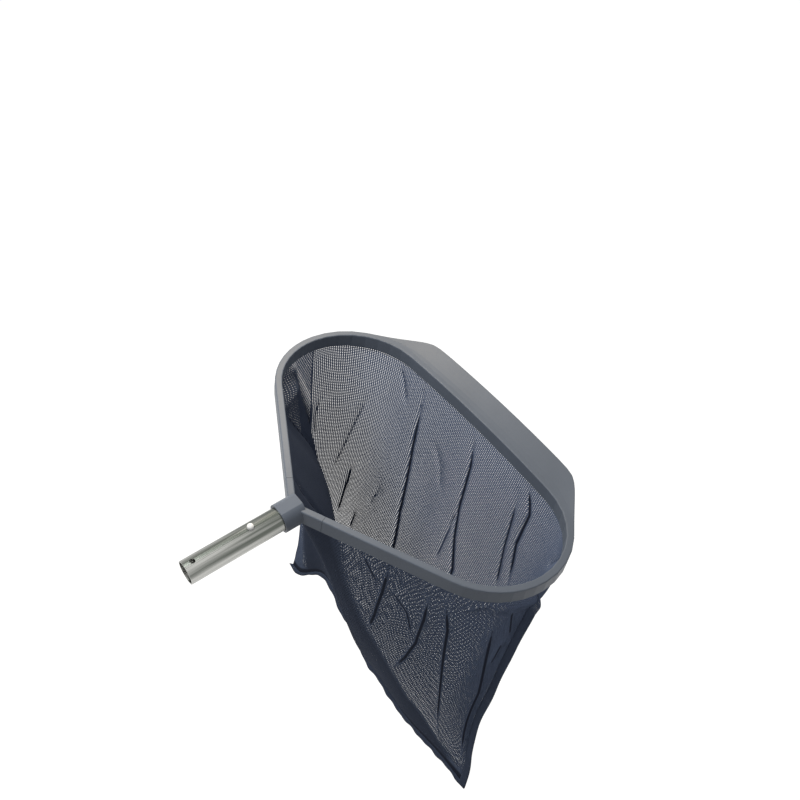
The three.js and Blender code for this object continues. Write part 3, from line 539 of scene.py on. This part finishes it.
def side_seam(name, side, lean, start, material):
    """The panels' side edges, sewn together and standing out beside the bag or leaning to the back."""
    down = np.linspace(0, 1, ROWS + 1)
    edge = drape(NEAR, np.full_like(down, side), down)[0]

    def step_points(step):
        wide = SEAM_WIDTH * np.clip(down / start, SIDE_SEAM_LEAST, 1)
        sway = math.sin(lean) * wide + SIDE_SEAM_SWAY * wander(down, side)
        drop = SEAM_LEAN * down + (SEAM_WIDTH - SEAM_LEAN) * down**CORNER_REACH
        return edge + step * np.stack([side * math.cos(lean) * wide, sway, -drop], -1)

    points, plane = seam_grid(down * CLOTH_LENGTH, step_points)
    sewn, painted_shade = SEWN_LOOKS
    spread = np.interp(down, (0, start), (FAR_CLEAR, sewn))[:, None]
    return sheet_object(name, points, plane, (spread, painted_shade), material, SEAM_THICKNESS)


def hem_path():
    """Points of the mouth's edge and outward directions, from arm to arm round the front."""
    reach = np.linspace(HEM_START, ARM_LENGTH, HEM_ARM_STEPS)[:, None]
    along_arm = reach * np.array([math.cos(ARM_ANGLE), math.sin(ARM_ANGLE)])
    from_arm = np.broadcast_to([math.sin(ARM_ANGLE), -math.cos(ARM_ANGLE)], along_arm.shape)
    corner_end = QUARTER_TURN - FRONT_HALF_ANGLE
    turn = np.linspace(ARM_ANGLE - QUARTER_TURN, corner_end, HEM_CORNER_STEPS)[1:]
    bow = np.linspace(corner_end, QUARTER_TURN, HEM_FRONT_STEPS)[1:]
    corner = arc(CORNER_X, CORNER_Y, CORNER_RADIUS, turn)
    front = arc(0, FRONT_CENTRE_Y, FRONT_RADIUS, bow)
    right = [np.concatenate(parts) for parts in zip((along_arm, from_arm), corner, front)]
    return [np.concatenate([half, half[-2::-1] * np.array([-1, 1])]) for half in right]


def hem(material):
    """The bag's top edge, folded over the cord in the rim's channel."""
    path, out = hem_path()
    section = np.array(HEM_SECTION)
    flat = path[:, None] + out[:, None] * section[None, :, :1]
    heights = np.broadcast_to(section[None, :, 1:], (*flat.shape[:2], 1))
    points = np.concatenate([flat, heights], -1)
    length = np.concatenate([[0], np.linalg.norm(np.diff(path, axis=0), axis=1).cumsum()])
    girth = np.concatenate([[0], np.linalg.norm(np.diff(section, axis=0), axis=1).cumsum()])
    plane = np.stack(np.broadcast_arrays(length[:, None], girth[None]), -1)
    return sheet_object("bag_hem", points, plane, SEWN_LOOKS, material, HEM_THICKNESS)


# Snap clip


def in_handle(x, along, height):
    """A point by its place beside, along and above the tube's middle line."""
    y = along * math.cos(TUBE_TILT) - height * math.sin(TUBE_TILT)
    z = along * math.sin(TUBE_TILT) + height * math.cos(TUBE_TILT)
    return x * MM, y * MM, z * MM


def spring_line(offset):
    """Places along the tube and heights of a leg's face, from its end under a button to the bend."""
    lean = math.atan2(SPRING_HEIGHT - SPRING_RADIUS, SPRING_BEND - SPRING_KNEE)
    top = SPRING_HEIGHT + offset
    knee = SPRING_KNEE + offset * math.tan(lean / 2)
    flat = [(BUTTON_FROM_END - SPRING_FLAT / 2, top), (knee, top)]
    turn = np.linspace(QUARTER_TURN - lean, 0, SPRING_BEND_STEPS + 1)
    radius = SPRING_RADIUS + offset
    bend = np.stack([SPRING_BEND + radius * np.cos(turn), radius * np.sin(turn)], -1)
    leg = np.linspace(flat[-1], bend[0], SPRING_LEG_STEPS + 1)[1:-1]
    return np.concatenate([flat, leg, bend])


def leg_faces(count):
    """Faces of a bar with a given number of points in its sections, with closed ends."""
    last = count - SPRING_CORNERS
    faces = [tuple(reversed(range(SPRING_CORNERS))), tuple(range(last, count))]
    for start in range(0, last, SPRING_CORNERS):
        after = start + SPRING_CORNERS
        for i in range(SPRING_CORNERS):
            j = (i + 1) % SPRING_CORNERS
            faces.append((start + i, start + j, after + j, after + i))
    return faces


def spring_leg(name, side, material):
    """Half of the V spring, which bends as its button is pressed."""
    half = SPRING_WIDTH / 2
    outer = spring_line(SPRING_THICKNESS / 2)
    inner = spring_line(-SPRING_THICKNESS / 2)
    points = []
    for over, under in zip(outer, inner):
        for x, (along, height) in ((-half, over), (half, over), (half, under), (-half, under)):
            points.append(in_handle(side * x, along, side * height))
    mesh = bpy.data.meshes.new(name)
    mesh.from_pydata(points, [], leg_faces(len(points)))
    mesh.materials.append(material)
    obj = bpy.data.objects.new(name, mesh)
    bpy.context.scene.collection.objects.link(obj)
    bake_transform(obj)
    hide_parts("clip_spring")


# Materials


class Nodes:
    """Short calls for building a node material."""

    def __init__(self, name):
        self.material = bpy.data.materials.new(name)
        self.material.use_nodes = True
        self.tree = self.material.node_tree
        self.shader = self.tree.nodes["Principled BSDF"]

    def add(self, kind, **settings):
        node = self.tree.nodes.new(kind)
        for key, value in settings.items():
            setattr(node, key, value)
        return node

    def link(self, source, target):
        self.tree.links.new(source, target)

    def put(self, target, value):
        if isinstance(value, bpy.types.NodeSocket):
            self.link(value, target)
        else:
            target.default_value = value

    def math(self, operation, a, b=0.0):
        node = self.add("ShaderNodeMath", operation=operation)
        self.put(node.inputs[0], a)
        self.put(node.inputs[1], b)
        return node.outputs[0]

    def ramp(self, value, given, wanted):
        """A value brought from one range to another, and held at its ends."""
        node = self.add("ShaderNodeMapRange")
        self.put(node.inputs["Value"], value)
        ends = ("From Min", "From Max", "To Min", "To Max")
        for socket, number in zip(ends, (*given, *wanted)):
            self.put(node.inputs[socket], number)
        return node.outputs["Result"]

    def mapped(self, vector, **settings):
        node = self.add("ShaderNodeMapping")
        for key, value in settings.items():
            node.inputs[key].default_value = value
        self.link(vector, node.inputs["Vector"])
        return node.outputs["Vector"]

    def noise(self, scale, detail, stretch=(1, 1, 1), turn=0.0):
        """Noise in the object's own place, turned about the X axis and then stretched."""
        place = self.add("ShaderNodeTexCoord").outputs["Object"]
        turned = self.mapped(place, Rotation=(turn, 0, 0))
        noise = self.add("ShaderNodeTexNoise")
        noise.inputs["Scale"].default_value = scale
        noise.inputs["Detail"].default_value = detail
        self.link(self.mapped(turned, Scale=stretch), noise.inputs["Vector"])
        return noise.outputs["Fac"]

    def mix(self, share, first, second):
        node = self.add("ShaderNodeMix", data_type="RGBA")
        self.put(node.inputs["Factor"], share)
        for socket, colour in (("A", first), ("B", second)):
            self.put(node.inputs[socket], (*colour, 1) if isinstance(colour, tuple) else colour)
        return node.outputs["Result"]

    def set(self, **values):
        for key, value in values.items():
            self.put(self.shader.inputs[key.replace("_", " ")], value)

    def bump(self, height, strength, distance):
        node = self.add("ShaderNodeBump")
        node.inputs["Strength"].default_value = strength
        node.inputs["Distance"].default_value = distance
        self.link(height, node.inputs["Height"])
        self.link(node.outputs["Normal"], self.shader.inputs["Normal"])


def plastic():
    made = Nodes("grey_moulded_plastic")
    cloudy = made.ramp(made.noise(*PLASTIC_CLOUDS), NOISE_RANGE, FULL_RANGE)
    grain = made.noise(*PLASTIC_GRAIN)
    made.set(
        Base_Color=made.mix(cloudy, *PLASTIC_COLOURS),
        Roughness=made.ramp(grain, NOISE_RANGE, PLASTIC_ROUGHNESS),
        Specular_IOR_Level=PLASTIC_SPECULAR,
    )
    made.bump(grain, *PLASTIC_BUMP)
    return made.material


def aluminium():
    made = Nodes("drawn_aluminium")
    # painted reflection: lengthwise streaks of darker and lighter base colour, partly the metal's drawn
    # streaks and partly painted reflections of the surroundings
    streaks_and_reflections = made.noise(*STREAK_AND_REFLECTION_NOISE, -TUBE_TILT)
    scratches = made.noise(*ALUMINIUM_SCRATCHES, -TUBE_TILT)
    streaky_reflections = made.ramp(streaks_and_reflections, STREAK_AND_REFLECTION_RANGE, FULL_RANGE)
    made.set(
        Base_Color=made.mix(streaky_reflections, *ALUMINIUM_AND_REFLECTION_COLOURS),
        Metallic=1.0,
        Roughness=made.ramp(scratches, NOISE_RANGE, ALUMINIUM_ROUGHNESS),
    )
    made.bump(scratches, *ALUMINIUM_BUMP)
    return made.material


def nylon():
    made = Nodes("white_nylon")
    speck = made.noise(*NYLON_SPECKS)
    made.set(
        Base_Color=made.mix(speck, *NYLON_COLOURS),
        Roughness=made.ramp(speck, NOISE_RANGE, NYLON_ROUGHNESS),
    )
    return made.material


def plain_steel():
    made = Nodes("plain_steel")
    brushed = made.noise(*STEEL_BRUSHING)
    made.set(
        Base_Color=made.mix(brushed, *STEEL_COLOURS),
        Metallic=1.0,
        Roughness=made.ramp(brushed, NOISE_RANGE, STEEL_ROUGHNESS),
    )
    return made.material


def braid():
    made = Nodes("dark_braid")
    strands = made.noise(*BRAID_STRANDS)
    made.set(Base_Color=made.mix(strands, *BRAID_COLOURS), Roughness=BRAID_ROUGHNESS)
    made.bump(strands, *BRAID_BUMP)
    return made.material


def from_hole(made):
    """Distance from the middle of the nearest hole, in pitches, over the flat cloth."""
    plane = made.add("ShaderNodeUVMap", uv_map="cloth")
    parts = made.add("ShaderNodeSeparateXYZ")
    made.link(plane.outputs["UV"], parts.inputs[0])
    squares = []
    for axis, pace in zip(("X", "Y"), DRIFT_SCALES):
        drift = made.ramp(made.noise(pace, DRIFT_DETAIL), FULL_RANGE, (-MESH_DRIFT, MESH_DRIFT))
        count = made.math("MULTIPLY", parts.outputs[axis], 1 / (MESH_PITCH * MM))
        place = made.math("FRACT", made.math("ADD", count, drift))
        offset = made.math("SUBTRACT", place, HOLE_MIDDLE)
        squares.append(made.math("MULTIPLY", offset, offset))
    return made.math("SQRT", made.math("ADD", *squares))


def mesh_cloth():
    """Knitted mesh: round holes in rows, closed where the cloth is creased, with painted shade on its
    threads in folds, at edges and in bunched cloth.
    """
    made = Nodes("dark_knitted_mesh")
    distance = from_hole(made)
    spread = made.add("ShaderNodeAttribute", attribute_name="spread").outputs["Fac"]
    radius = made.ramp(spread, (CREASE_CORE, CREASE_EDGE), (CLOSED_RADIUS, HOLE_RADIUS))
    edge = made.math("SUBTRACT", distance, radius)
    open_cloth = made.mix(made.noise(*THREAD_CLOUDS), *THREAD_COLOURS)
    painted_shade = made.add("ShaderNodeAttribute", attribute_name="painted_shade").outputs["Fac"]
    # painted shade: the threads are darkened towards the fold shade colour where the mesh closes and in
    # bunched cloth
    painted_fold_shade = made.ramp(spread, (CREASE_CORE, PAINTED_SHADE_END), (1, 0))
    painted_shade_share = made.math("MAXIMUM", painted_fold_shade, painted_shade)
    made.set(
        Base_Color=made.mix(painted_shade_share, open_cloth, PAINTED_FOLD_SHADE_COLOUR),
        Roughness=THREAD_ROUGHNESS,
        Specular_IOR_Level=THREAD_SPECULAR,
        Alpha=made.ramp(edge, (-HOLE_EDGE, HOLE_EDGE), FULL_RANGE),
    )
    return made.material


# Stage


def light_share(tree, seen, unseen):
    """A number for rays that see the background, straight or mirrored, and another for light."""
    path = tree.nodes.new("ShaderNodeLightPath")
    total = path.outputs["Is Camera Ray"]
    for name in ("Is Glossy Ray", "Is Transmission Ray"):
        node = tree.nodes.new("ShaderNodeMath")
        node.operation = "MAXIMUM"
        tree.links.new(total, node.inputs[0])
        tree.links.new(path.outputs[name], node.inputs[1])
        total = node.outputs[0]
    node = tree.nodes.new("ShaderNodeMapRange")
    tree.links.new(total, node.inputs["Value"])
    node.inputs["To Min"].default_value = unseen
    node.inputs["To Max"].default_value = seen
    return node.outputs["Result"]


def make_world():
    world = bpy.data.worlds.new("studio")
    bpy.context.scene.world = world
    world.use_nodes = True
    background = world.node_tree.nodes["Background"]
    background.inputs["Color"].default_value = (1, 1, 1, 1)
    strength = light_share(world.node_tree, WORLD_SEEN, WORLD_LIGHT)
    world.node_tree.links.new(strength, background.inputs["Strength"])


def make_floor():
    mesh = bpy.data.meshes.new("floor")
    half = FLOOR_SIZE / 2
    plan = ((-half, -half), (half, -half), (half, half), (-half, half))
    mesh.from_pydata([(x, y, FLOOR_Z) for x, y in plan], [], [(0, 1, 2, 3)])
    floor = bpy.data.objects.new("floor", mesh)
    bpy.context.scene.collection.objects.link(floor)
    made = Nodes("pale_floor")
    made.set(
        Base_Color=(FLOOR_GREY, FLOOR_GREY, FLOOR_GREY, 1),
        Roughness=FLOOR_ROUGHNESS,
        Specular_IOR_Level=0,
        Emission_Color=(1, 1, 1, 1),
        Emission_Strength=light_share(made.tree, FLOOR_SEEN, FLOOR_LIGHT),
    )
    mesh.materials.append(made.material)


def area_light(name, place, aim, size, power, colour):
    light = bpy.data.lights.new(name, "AREA")
    light.shape = "DISK"
    light.size = size
    light.energy = power
    light.color = colour
    obj = bpy.data.objects.new(name, light)
    bpy.context.scene.collection.objects.link(obj)
    obj.location = place
    obj.rotation_euler = (Vector(aim) - Vector(place)).to_track_quat("-Z", "Y").to_euler()


def make_camera():
    level = Vector((math.cos(CAMERA_AZIMUTH), math.sin(CAMERA_AZIMUTH), 0))
    flat = math.cos(CAMERA_ELEVATION)
    back_x = math.sin(CAMERA_AZIMUTH) * flat
    back_y = -math.cos(CAMERA_AZIMUTH) * flat
    back = Vector((back_x, back_y, math.sin(CAMERA_ELEVATION)))
    upright = back.cross(level)
    right = level * math.cos(CAMERA_ROLL) + upright * math.sin(CAMERA_ROLL)
    up = upright * math.cos(CAMERA_ROLL) - level * math.sin(CAMERA_ROLL)
    camera = bpy.data.cameras.new("camera")
    camera.lens = CAMERA_LENS
    camera.sensor_width = CAMERA_SENSOR
    obj = bpy.data.objects.new("camera", camera)
    bpy.context.scene.collection.objects.link(obj)
    turn = Matrix((right, up, back)).transposed().to_4x4()
    obj.matrix_world = Matrix.Translation(Vector(CAMERA_AIM) + back * CAMERA_DISTANCE) @ turn
    bpy.context.scene.camera = obj


# Putting it together

make_camera()
make_world()
make_floor()
for light in LIGHTS:
    area_light(*light)

FINISHES = {
    "frame_hoop": plastic(),
    "handle_tube": aluminium(),
    "clip_spring": plain_steel(),
    "clip_button_top": nylon(),
    "hem_cord": braid(),
}
SAME_AS = {
    "handle_yoke": "frame_hoop",
    "clamp_strip": "frame_hoop",
    "clip_button_bottom": "clip_button_top",
    "socket_screw": "clip_spring",
    "arm_screw_left": "clip_spring",
    "arm_screw_right": "clip_spring",
}
for node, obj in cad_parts.items():
    finish = FINISHES.get(SAME_AS.get(node, node))
    if finish:
        obj.data.materials.clear()
        obj.data.materials.append(finish)

cloth = mesh_cloth()
far_panel = panel_object("bag_far_panel", FAR, cloth)
near_panel = panel_object("bag_near_panel", NEAR, cloth)
seams = [
    bottom_seam(cloth),
    side_seam("bag_side_seam_left", -1, LEFT_SEAM_LEAN, LEFT_SEAM_START, cloth),
    side_seam("bag_side_seam_right", 1, 0, RIGHT_SEAM_START, cloth),
    hem(cloth),
]
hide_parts("net_bag")
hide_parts("net_bag")
for seam, node in zip(seams, ("bottom_seam", "side_seam_left", "side_seam_right", "hem_band")):
    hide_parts(node)
spring_leg("clip_spring_top_leg", 1, FINISHES["clip_spring"])
spring_leg("clip_spring_bottom_leg", -1, FINISHES["clip_spring"])

bpy.context.scene.view_settings.view_transform = "Standard"
